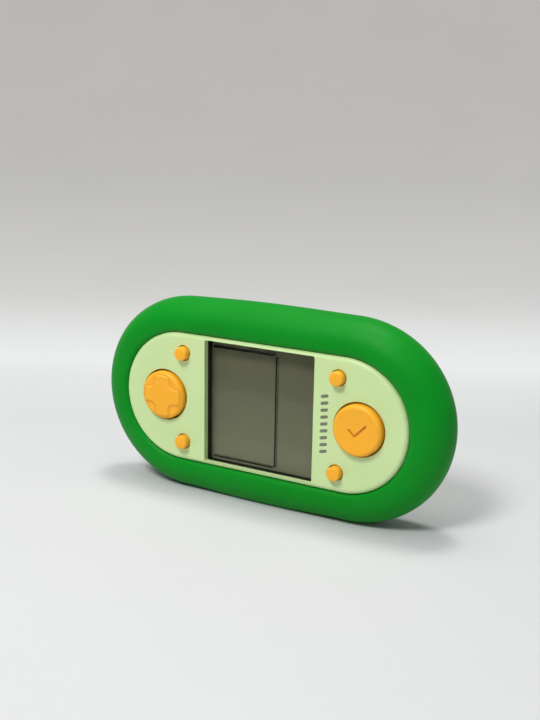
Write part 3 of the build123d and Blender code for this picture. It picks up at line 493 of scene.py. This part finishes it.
@dataclass
class SoftRing:
    """The silicone ring: one section carried round a stadium, with a flat where it stands.

    The real one is a little leaner round its two upper corners than a stadium, and it bulges where it stands.
    """

    spine_half: float = 37.0
    path_radius: float = 30.25
    section_radius: float = 11.0
    inner_radius: float = 27.05
    groove_radius: float = 32.45
    groove_half: float = 7.65
    lip_radius: float = 2.4
    left_dip: float = 0.9
    right_dip: float = 0.35
    dip_place: float = 9.7
    dip_width: float = 24.0
    top_bow: float = 0.2
    foot_bulge: float = 1.2
    right_swell: float = 0.25
    left_swell: float = -0.4
    seam_height: float = 0.06
    seam_width: float = 0.22
    turn_steps: int = 96
    straight_steps: int = 26

    def section(self) -> np.ndarray:
        """The closed section: x is the distance from the spine and y is forward from mid depth.

        The outside is an arc of the section radius, finer near its crown, where the two mould halves leave a
        low ridge. Each lip is an arc that touches it and the inner wall, and a groove takes the body's flange.
        """
        reach = self.inner_radius + self.lip_radius - self.path_radius
        lip_y = math.sqrt((self.section_radius - self.lip_radius) ** 2 - reach ** 2)
        lip = (self.inner_radius + self.lip_radius, lip_y)
        turn = math.degrees(math.atan2(lip_y, reach))
        t = np.linspace(1, -1, 121)[1:-1]
        angle = np.radians(turn) * (0.5 * t + 0.5 * t ** 3)
        ridge = self.seam_height * np.exp(-(angle * self.section_radius / self.seam_width) ** 2)
        outside = (self.section_radius + ridge)[:, None] * np.stack([np.cos(angle), np.sin(angle)], axis=1)
        outside = outside + [self.path_radius, 0.0]
        front = arc(lip, self.lip_radius, 180, turn, 16)
        wall = np.stack([np.full(4, self.inner_radius), np.linspace(self.groove_half, lip_y, 5)[:-1]], axis=1)
        half = np.concatenate([wall, front])
        back = half[::-1] * [1, -1]
        groove = np.array([[self.groove_radius, -self.groove_half], [self.groove_radius, self.groove_half]])
        return np.concatenate([half, outside, back, groove])

    def path(self) -> tuple[np.ndarray, np.ndarray]:
        """The stadium as spine points and outward directions in X and Z.

        Returns:
            The spine point and the unit outward direction at each step round the ring.
        """
        half, turn = self.spine_half, self.turn_steps
        right = np.radians(np.linspace(-90, 90, turn))
        line = np.linspace(half, -half, self.straight_steps + 2)[1:-1]
        flat = np.zeros_like(line)
        centre = np.concatenate([np.full(turn, half), line, np.full(turn, -half), -line])
        spine = np.stack([centre, np.zeros_like(centre)], axis=1)
        cosine = np.concatenate([np.cos(right), flat, -np.cos(right), flat])
        sine = np.concatenate([np.sin(right), flat + 1, -np.sin(right), flat - 1])
        return spine, np.stack([cosine, sine], axis=1)

    def lean(self, spine: np.ndarray, outward: np.ndarray) -> np.ndarray:
        """How far the outside moves at each step.

        It's the sum of a squared cosine along each long side, the squared cosine of the angle round each end,
        and a bell round each upper corner, taken away: minus the squared distance from its middle over its
        squared width, as an exponent.

        Args:
            spine: the spine points.
            outward: the unit outward directions.

        Returns:
            One length for each step.
        """
        rightward, upward = spine[:, 0] > 0, outward[:, 1]
        side = np.cos(0.5 * np.pi * spine[:, 0] / self.spine_half) ** 2
        bow = side * np.where(upward > 0, self.top_bow, self.foot_bulge)
        swell = outward[:, 0] ** 2 * np.where(rightward, self.right_swell, self.left_swell)
        round_end = np.arccos(np.clip(upward, -1, 1)) * (self.path_radius + self.section_radius)
        along = round_end - np.where(upward > 0, self.spine_half - np.abs(spine[:, 0]), 0.0)
        bell = np.exp(-((along - self.dip_place) / self.dip_width) ** 2)
        return bow + swell - bell * np.where(rightward, self.right_dip, self.left_dip)

    def build(self, material: bpy.types.Material) -> bpy.types.Object:
        """Makes the ring: spine point plus outward direction times the section's x, and depth from its y.

        Args:
            material: the silicone.

        Returns:
            The ring, which stands for its solid and rides on the console.
        """
        section, (spine, outward) = self.section(), self.path()
        thickness = self.path_radius + self.section_radius - self.inner_radius
        share = np.clip((section[:, 0] - self.inner_radius) / thickness, 0.0, 1.0)
        away = section[None, :, 0] + self.lean(spine, outward)[:, None] * share[None, :]
        flat = spine[:, None, :] + outward[:, None, :] * away[..., None]
        depth = np.broadcast_to(self.section_radius - section[None, :, 1:], flat.shape[:2] + (1,))
        points = np.concatenate([flat[..., :1], FACE_Y + depth, CENTRE_Z + flat[..., 1:]], axis=2)
        points[..., 2] = np.maximum(points[..., 2], 0.0)
        faces = grid_faces(len(spine), len(section), True, True)
        piece = make_piece("soft_ring_surface", points.reshape(-1, 3), faces, material)
        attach(piece, Body.CONSOLE.value)
        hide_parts("silicone_ring")
        return piece


def capsule(length: float, width: float, steps: int = 10) -> np.ndarray:
    """A round-ended bar along x about the origin: two half circles, joined by straight sides."""
    radius, reach = width / 2, (length - width) / 2
    right = arc((reach, 0), radius, -90, 90, steps)
    return np.concatenate([right, -right])


def plate_piece(name: str, outline: np.ndarray, near: float, far: float,
                material: bpy.types.Material) -> bpy.types.Object:
    """A thin plate: an outline carried from one depth to another and closed by two caps.

    Args:
        name: the piece's name.
        outline: x and height above the faceplate's centre, anticlockwise as the viewer sees it.
        near: the depth of its front.
        far: the depth of its back.
        material: its finish.

    Returns:
        The plate as an object.
    """
    count = len(outline)
    depth = np.repeat([near, far], count)
    both = np.concatenate([outline, outline])
    points = np.stack([both[:, 0], FACE_Y + depth, CENTRE_Z + both[:, 1]], axis=1)
    sides = grid_faces(2, count, False, True)[:, ::-1].tolist()
    caps = [list(range(count)), list(range(2 * count - 1, count - 1, -1))]
    return make_piece(name, points, sides + caps, material, smooth=False)


@dataclass
class DisplayMarks:
    """The frame of the play field: three segments in the glass, and their shadow, painted as thin dark strips on the
    film behind.
    """

    top: float = 22.2
    foot: float = -24.5
    left: float = -24.0
    corner_x: float = 5.25
    gap: float = 0.75
    side_drop: float = 0.25
    side_trim: float = 0.4
    width: float = 0.56
    top_width: float = 0.95
    side_width: float = 0.68
    segment_depth: float = 5.58
    shadow_depth: float = 7.06
    film: float = 0.015

    def bars(self) -> dict[str, np.ndarray]:
        """Outlines of the three segments by name."""
        length = self.corner_x - self.gap - self.left
        middle = self.left + length / 2
        across, upper = capsule(length, self.width), capsule(length, self.top_width)
        upright = capsule(self.top - self.foot - self.side_trim, self.side_width)[:, ::-1] * [-1, 1]
        centre = (self.top + self.foot) / 2
        return {"top": upper + [middle, self.top], "foot": across + [middle, self.foot],
                "side": upright + [self.corner_x, centre - self.side_drop]}

    def build(self, ink: bpy.types.Material, shadow: bpy.types.Material) -> list[bpy.types.Object]:
        """Makes the segments and their shadows.

        Args:
            ink: the dark segments.
            shadow: the painted shadow, paler than the segments.

        Returns:
            The six thin pieces.
        """
        pieces = []
        for kind, depth, finish in (("segment", self.segment_depth, ink), ("shadow", self.shadow_depth, shadow)):
            for place, outline in self.bars().items():
                piece = plate_piece(f"display_{kind}_{place}", outline, depth, depth + self.film, finish)
                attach(piece, Body.CONSOLE.value)
                pieces.append(piece)
        return pieces


@dataclass
class TickShade:
    """Painted shade in the groove of the tick on the round button: a deeper orange piece a hair above its floor."""

    centre_x: float = 44.25
    rise: float = -2.176
    shift: float = -0.8
    half_width: float = 0.43
    short_arm: float = 3.2
    long_arm: float = 6.4
    near: float = -1.812
    far: float = -1.802

    def outline(self) -> np.ndarray:
        """Two round-ended bars at a right angle, as one outline, turned by half a right angle."""
        r = self.half_width
        corner, inner = arc((0, 0), r, 180, 270, 7), np.array([[r, r]])
        ends = arc((self.long_arm, 0), r, -90, 90, 9), arc((0, self.short_arm), r, 0, 180, 9)
        points = np.concatenate([corner, ends[0], inner, ends[1]])
        turn = math.radians(45)
        spin = np.array([[math.cos(turn), math.sin(turn)], [-math.sin(turn), math.cos(turn)]])
        return points @ spin + [self.centre_x + self.shift, self.rise]

    def build(self, material: bpy.types.Material) -> bpy.types.Object:
        """Lays the painted shade on the groove's floor.

        Args:
            material: the deeper orange.

        Returns:
            The thin piece, which goes down with the button.
        """
        piece = plate_piece("tick_groove_shade", self.outline(), self.near, self.far, material)
        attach(piece, Body.ROUND_BUTTON.value)
        return piece


@dataclass
class CrossShade:
    """Painted shade in the corner round the foot of the disc's raised cross: a thin strip of deeper orange."""

    centre_x: float = -44.25
    arm_half: float = 3.2
    reach: float = 8.65
    tip_radius: float = 1.0
    notch_radius: float = 2.6
    inner: float = 0.2
    outer: float = 0.62
    rim_depth: float = -2.35
    dish_depth: float = 0.3
    crest_radius: float = 8.55
    rim_radius: float = 1.5
    lift: float = 0.02
    film: float = 0.015

    def outline(self, spread: float) -> np.ndarray:
        """The cross's outline, wider by a spread: arcs round the tips, the notches and the arms' ends.

        Args:
            spread: how far it lies outside the cross itself.

        Returns:
            One row of x and height for each point.
        """
        low = self.arm_half - self.tip_radius
        far = math.sqrt((self.reach - self.tip_radius) ** 2 - low ** 2)
        lean = math.degrees(math.atan2(low, far))
        notch, r = self.arm_half + self.notch_radius, self.tip_radius + spread
        quarter = np.concatenate([
            arc((far, low), r, lean, 90, 8), arc((notch, notch), self.notch_radius - spread, 270, 180, 10),
            arc((low, far), r, 0, 90 - lean, 8), arc((0, 0), self.reach + spread, 90 - lean, 90 + lean, 8)[1:-1]])
        turns = [np.linalg.matrix_power(np.array([[0, 1], [-1, 0]]), number) for number in range(4)]
        return np.concatenate([quarter @ turn for turn in turns])

    def depth(self, flat: np.ndarray) -> np.ndarray:
        """The depth of the disc's low face: a hollow that falls with the squared radius, then the rim's arc."""
        r = np.hypot(flat[:, 0], flat[:, 1])
        hollow = self.dish_depth * (1 - np.minimum(r / self.crest_radius, 1) ** 2)
        over = np.maximum(r - self.crest_radius, 0)
        return self.rim_depth + hollow + self.rim_radius - np.sqrt(self.rim_radius ** 2 - over ** 2)

    def build(self, material: bpy.types.Material) -> bpy.types.Object:
        """Lays a thin strip of painted shade along the corner, just above the low face.

        Args:
            material: the deeper orange.

        Returns:
            The strip, which rocks with the disc.
        """
        loops = []
        for spread, lift in ((self.inner, self.lift + self.film), (self.outer, self.lift + self.film),
                             (self.outer, self.lift), (self.inner, self.lift)):
            flat = self.outline(spread)
            loops.append(np.stack([self.centre_x + flat[:, 0], FACE_Y + self.depth(flat) - lift,
                                   CENTRE_Z + flat[:, 1]], axis=1))
        faces = grid_faces(len(loops), len(loops[0]), True, True)[:, ::-1]
        piece = make_piece("cross_corner_shade", np.concatenate(loops), faces, material)
        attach(piece, Body.FOUR_WAY_DISC.value)
        return piece


@dataclass
class PrintedDashes:
    """A plain column of slanted dashes printed beside the window."""

    centre_x: float = 29.55
    centre_rise: float = -0.2
    column_height: float = 23.4
    dash_length: float = 3.3
    dash_width: float = 1.3
    slant: float = 0.22
    count: int = 9
    film: float = 0.012
    lift: float = 0.004

    def build(self, ink: bpy.types.Material) -> list[bpy.types.Object]:
        """Makes the dashes: round-ended bars, leaned by adding a share of x to their height.

        Args:
            ink: the printing ink.

        Returns:
            One thin piece for each dash.
        """
        pieces = []
        bar = capsule(self.dash_length, self.dash_width, 6)
        bar = np.stack([bar[:, 0], bar[:, 1] + self.slant * bar[:, 0]], axis=1)
        heights = np.linspace(0.5, -0.5, self.count) * (self.column_height - self.dash_width)
        for number, height in enumerate(heights):
            outline = bar + [self.centre_x, self.centre_rise + height]
            piece = plate_piece(f"printed_dash_{number + 1}", outline, -self.film - self.lift, -self.lift, ink)
            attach(piece, Body.CONSOLE.value)
            pieces.append(piece)
        return pieces


@dataclass(frozen=True)
class Softbox:
    """A soft square lamp: where it hangs and its side in metres, its power and its colour."""

    name: str
    place: tuple[float, float, float]
    size: float
    watts: float
    colour: str


SOFTBOXES = (
    Softbox("top_softbox", (-0.16, -0.06, 1.16), 0.9, 4.4, "#FFFDF8"),
    Softbox("back_softbox", (-0.02, 0.13, 1.10), 0.2, 3.7, "#FFFDF8"),
    Softbox("key_softbox", (-0.08, -0.76, 0.98), 0.3, 9.4, "#FFFEFC"),
)
# The paper's painted light and shade where it rises, which camera and glossy rays see as a glow, darker higher up,
# by metres along the sheet from under the object.
PAPER_PAINTED_STOPS = ((0.15, "#E9EBEA"), (0.234, "#EBEDEC"), (0.30, "#E4E6E5"), (0.349, "#DDDDDC"), (0.403, "#D2D2D0"),
               (0.453, "#CDCDCA"), (0.547, "#C7C6C3"), (0.678, "#BEBDB9"), (0.8, "#BCBAB7"), (1.004, "#BAB8B5"))


@dataclass
class Studio:
    """The pale paper sweep, the soft lamps and the camera."""

    azimuth: float = 29.39
    elevation: float = 14.2
    roll: float = 1.04
    distance: float = 407.4
    target_x: float = 5.45
    target_rise: float = 21.64
    focal_length: float = 52.5
    sensor: float = 36.0
    sweep_start: float = 300.0
    sweep_radius: float = 900.0
    sweep_front: float = -2600.0
    sweep_turn: float = 78.0
    sweep_width: float = 5200.0
    flat_steps: int = 40
    climb_steps: int = 60
    side_steps: int = 9
    fibre_size: float = 90.0
    blend_from: float = 0.10
    blend_to: float = 0.22
    lamp_aim: tuple[float, float, float] = (0.0, 0.0, 0.04)
    surround_colour: str = "#F4F6F8"
    surround_strength: float = 0.24

    def camera(self) -> bpy.types.Object:
        """Places the camera on a line from the target, turned by azimuth and elevation, and rolled."""
        a, e, r = (math.radians(v) for v in (self.azimuth, self.elevation, self.roll))
        back = Vector((math.sin(a) * math.cos(e), -math.cos(a) * math.cos(e), math.sin(e)))
        right = Vector((0, 0, 1)).cross(back).normalized()
        up = back.cross(right)
        turned_right = math.cos(r) * right + math.sin(r) * up
        turned_up = math.cos(r) * up - math.sin(r) * right
        data = bpy.data.cameras.new("photo_camera")
        data.lens, data.sensor_width = self.focal_length, self.sensor
        data.clip_start, data.clip_end = 0.01, 20.0
        camera = bpy.data.objects.new("photo_camera", data)
        basis = Matrix((turned_right, turned_up, back)).transposed().to_4x4()
        target = Vector((self.target_x, FACE_Y, CENTRE_Z + self.target_rise))
        place = (target + back * self.distance) * MM
        camera.matrix_world = Matrix.Translation(place) @ basis
        bpy.context.scene.collection.objects.link(camera)
        bpy.context.scene.camera = camera
        return camera

    def paper(self) -> bpy.types.Material:
        """Matt paper: lit near the object; where it rises behind, it glows with painted light and shade for camera,
        glossy and transmission rays.
        """
        material, tree, place = new_material("matt_background_paper")
        along = add_node(tree, "ShaderNodeSeparateXYZ", links={
            0: add_node(tree, "ShaderNodeUVMap").outputs[0]}).outputs[0]
        fibre = add_node(tree, "ShaderNodeTexNoise", {"Scale": per_metre(self.fibre_size), "Detail": 3.0},
                         {"Vector": place})
        lit = mixed(tree, fibre.outputs["Fac"], "#D0D1D4", "#CCCED1")
        diffuse = add_node(tree, "ShaderNodeBsdfPrincipled", {"Roughness": 0.9, "Specular IOR Level": 0.1},
                           {"Base Color": lit})
        mottle = ranged(tree, fibre.outputs["Fac"], (0.25, 0.75), (0.985, 1.015))
        glow = add_node(tree, "ShaderNodeEmission", links={
            "Color": ramp_along(tree, along, PAPER_PAINTED_STOPS), "Strength": mottle})
        rays = add_node(tree, "ShaderNodeLightPath")
        seen = add_node(tree, "ShaderNodeMath", {"operation": "MAXIMUM"}, {
            0: rays.outputs["Is Camera Ray"], 1: rays.outputs["Is Glossy Ray"]})
        seen = add_node(tree, "ShaderNodeMath", {"operation": "MAXIMUM"}, {
            0: seen.outputs[0], 1: rays.outputs["Is Transmission Ray"]})
        far = ranged(tree, along, (self.blend_from, self.blend_to), (0.0, 1.0))
        share = add_node(tree, "ShaderNodeMath", {"operation": "MULTIPLY"}, {0: seen.outputs[0], 1: far})
        both = add_node(tree, "ShaderNodeMixShader", links={
            0: share.outputs[0], 1: diffuse.outputs[0], 2: glow.outputs[0]})
        add_node(tree, "ShaderNodeOutputMaterial", links={"Surface": both.outputs[0]})
        return material

    def sweep(self) -> bpy.types.Object:
        """One sheet: flat, then an arc that climbs behind the object, carried sideways.

        Its UV map holds the distance along the sheet in metres, from under the object.
        """
        a = math.radians(self.azimuth)
        ahead, side = np.array([-math.sin(a), math.cos(a)]), np.array([math.cos(a), math.sin(a)])
        flat = np.linspace(self.sweep_front, self.sweep_start, self.flat_steps)
        angle = np.radians(np.linspace(0, self.sweep_turn, self.climb_steps)[1:])
        along = np.concatenate([flat, self.sweep_start + self.sweep_radius * np.sin(angle)])
        height = np.concatenate([np.zeros(self.flat_steps), self.sweep_radius * (1 - np.cos(angle))])
        length = np.concatenate([flat, self.sweep_start + self.sweep_radius * angle])
        across = np.linspace(-0.5, 0.5, self.side_steps) * self.sweep_width
        ground = along[:, None, None] * ahead + across[None, :, None] * side
        climb = np.broadcast_to(height[:, None, None], ground.shape[:2] + (1,))
        points = np.concatenate([ground, climb], axis=2).reshape(-1, 3)
        faces = grid_faces(len(along), len(across), False, False)[:, ::-1]
        piece = make_piece("paper_sweep", points, faces, self.paper())
        uv = piece.data.uv_layers.new(name="sheet")
        loops = np.zeros(len(piece.data.loops), np.int32)
        piece.data.loops.foreach_get("vertex_index", loops)
        table = np.stack([np.repeat(length, len(across)), np.tile(across, len(along))], axis=1) * MM
        uv.data.foreach_set("uv", table[loops].ravel())
        return piece

    def lamp(self, box: Softbox) -> bpy.types.Object:
        """Adds a soft square lamp that faces the object.

        Args:
            box: what the lamp is like and where it hangs.

        Returns:
            The lamp.
        """
        data = bpy.data.lights.new(box.name, "AREA")
        data.shape, data.size, data.energy, data.color = "SQUARE", box.size, box.watts, linear(box.colour)[:3]
        lamp = bpy.data.objects.new(box.name, data)
        lamp.location = box.place
        lamp.rotation_euler = (Vector(self.lamp_aim) - Vector(box.place)).to_track_quat("-Z", "Y").to_euler()
        bpy.context.scene.collection.objects.link(lamp)
        return lamp

    def world(self) -> None:
        """An even pale surround that fills the shadows."""
        world = bpy.data.worlds.new("pale_surround")
        world.use_nodes = True
        world.node_tree.nodes.clear()
        glow = add_node(world.node_tree, "ShaderNodeBackground", {
            "Color": linear(self.surround_colour), "Strength": self.surround_strength})
        add_node(world.node_tree, "ShaderNodeOutputWorld", links={"Surface": glow.outputs[0]})
        bpy.context.scene.world = world

    def build(self) -> None:
        """Sets up the camera, the sweep, the lamps and the surround."""
        self.camera()
        self.sweep()
        for box in SOFTBOXES:
            self.lamp(box)
        self.world()
        bpy.context.scene.view_settings.view_transform = "Standard"


@dataclass
class Console:
    """The console itself: finishes for its solids, and the pieces that only the looks need."""

    ring: SoftRing
    marks: DisplayMarks
    tick: TickShade
    corner: CrossShade
    dashes: PrintedDashes

    def dress_solids(self) -> dict[Finish, bpy.types.Material]:
        """Gives every solid its finish.

        Returns:
            The material made for each finish.
        """
        made = {}
        for finish, nodes in NODE_FINISHES.items():
            made[finish] = finish.build()
            for node in nodes:
                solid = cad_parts[node]
                if not solid.material_slots:
                    solid.data.materials.append(made[finish])
                for slot in solid.material_slots:
                    slot.material = made[finish]
                LOG.info("%s: %s", node, finish.name)
        return made

    def build(self) -> None:
        """Dresses the solids and adds the ring's surface, the display's segments with their painted shadows, the
        painted shade on both buttons, and the dashes.
        """
        made = self.dress_solids()
        self.ring.build(made[SILICONE])
        self.marks.build(INK_BLACK.build(), SEGMENT_SHADOW_PAINT.build())
        self.tick.build(GROOVE_SHADE_ORANGE.build())
        self.corner.build(CORNER_SHADE_ORANGE.build())
        self.dashes.build(PRINT_GREY.build())


def main() -> None:
    logging.basicConfig(level=logging.INFO, format="%(name)s %(message)s")
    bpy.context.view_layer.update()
    Console(SoftRing(), DisplayMarks(), TickShade(), CrossShade(), PrintedDashes()).build()
    Studio().build()
    bpy.context.view_layer.update()


if __name__ == "__main__":
    main()
